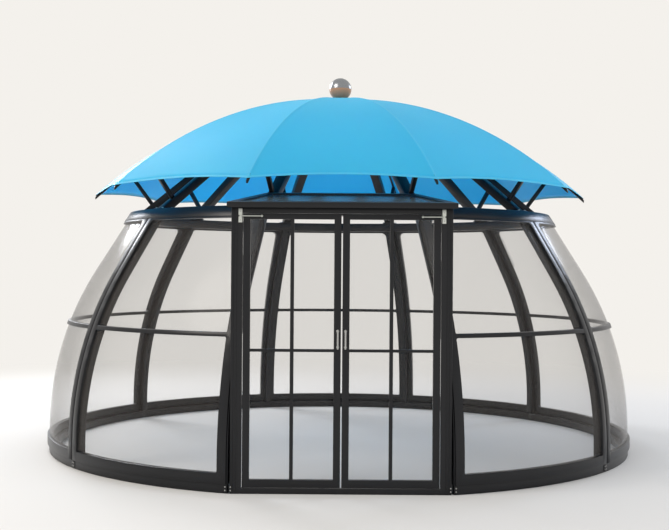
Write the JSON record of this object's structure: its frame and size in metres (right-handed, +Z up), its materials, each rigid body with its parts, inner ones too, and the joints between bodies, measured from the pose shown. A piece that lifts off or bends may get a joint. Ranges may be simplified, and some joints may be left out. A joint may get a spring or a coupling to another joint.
{
  "type": "sunroom",
  "caption": "Round domed garden sunroom with curved clear glazing, a glazed double door under a small porch roof, and a scalloped fabric canopy with a steel ball.",
  "frame": {"origin": "centre of the floor circle at ground level", "axes": "+Z up, the double door faces -Y, +X to the right seen from outside the door"},
  "size_m": [5.2, 5.1213, 3.34],
  "materials": {
    "dark_frame": "satin charcoal powder coat",
    "wall_glazing": "clear, faintly bronze tinted",
    "door_glass": "clear",
    "canopy_fabric": "matt woven, sky blue",
    "polished_steel": "polished",
    "brushed_steel": "brushed",
    "hinge_metal": "satin"
  },
  "bodies": {
    "sunroom": {"plinth_left": "dark_frame", "plinth_right": "dark_frame", "plinth_back": "dark_frame", "front_left_frame": "dark_frame", "front_left_glazing": "wall_glazing", "side_left_frame": "dark_frame", "side_left_glazing": "wall_glazing", "back_left_frame": "dark_frame", "back_left_glazing": "wall_glazing", "back_frame": "dark_frame", "back_glazing": "wall_glazing", "back_right_frame": "dark_frame", "back_right_glazing": "wall_glazing", "side_right_frame": "dark_frame", "side_right_glazing": "wall_glazing", "front_right_frame": "dark_frame", "front_right_glazing": "wall_glazing", "door_left_rib": "dark_frame", "door_right_rib": "dark_frame", "front_left_rib": "dark_frame", "front_right_rib": "dark_frame", "back_left_rib": "dark_frame", "back_right_rib": "dark_frame", "rear_left_rib": "dark_frame", "rear_right_rib": "dark_frame", "top_ring": "dark_frame", "roof_beams": "dark_frame", "hub": "dark_frame", "canopy": "canopy_fabric", "canopy_ribs": "dark_frame", "finial": "polished_steel", "door_frame": "dark_frame", "porch_roof_frame": "dark_frame", "porch_roof_glazing": "door_glass", "cheek_frames": "dark_frame", "cheek_glazing": "door_glass", "hinge_barrels": "hinge_metal"},
    "left_door": {"left_leaf": "dark_frame", "left_leaf_glazing": "door_glass", "left_handle": "brushed_steel", "left_hinge_rod": "hinge_metal"},
    "right_door": {"right_leaf": "dark_frame", "right_leaf_glazing": "door_glass", "right_handle": "brushed_steel", "right_hinge_rod": "hinge_metal"}
  },
  "joints": [
    {"name": "left_door_swing", "type": "hinge", "parent": "sunroom", "child": "left_door", "pos_m": [-0.715, -2.4705, 1.9535], "axis": [0, 0, -1], "range_deg": [0, 110]},
    {"name": "right_door_swing", "type": "hinge", "parent": "sunroom", "child": "right_door", "pos_m": [0.715, -2.4705, 1.9535], "axis": [0, 0, 1], "range_deg": [0, 110]}
  ]
}
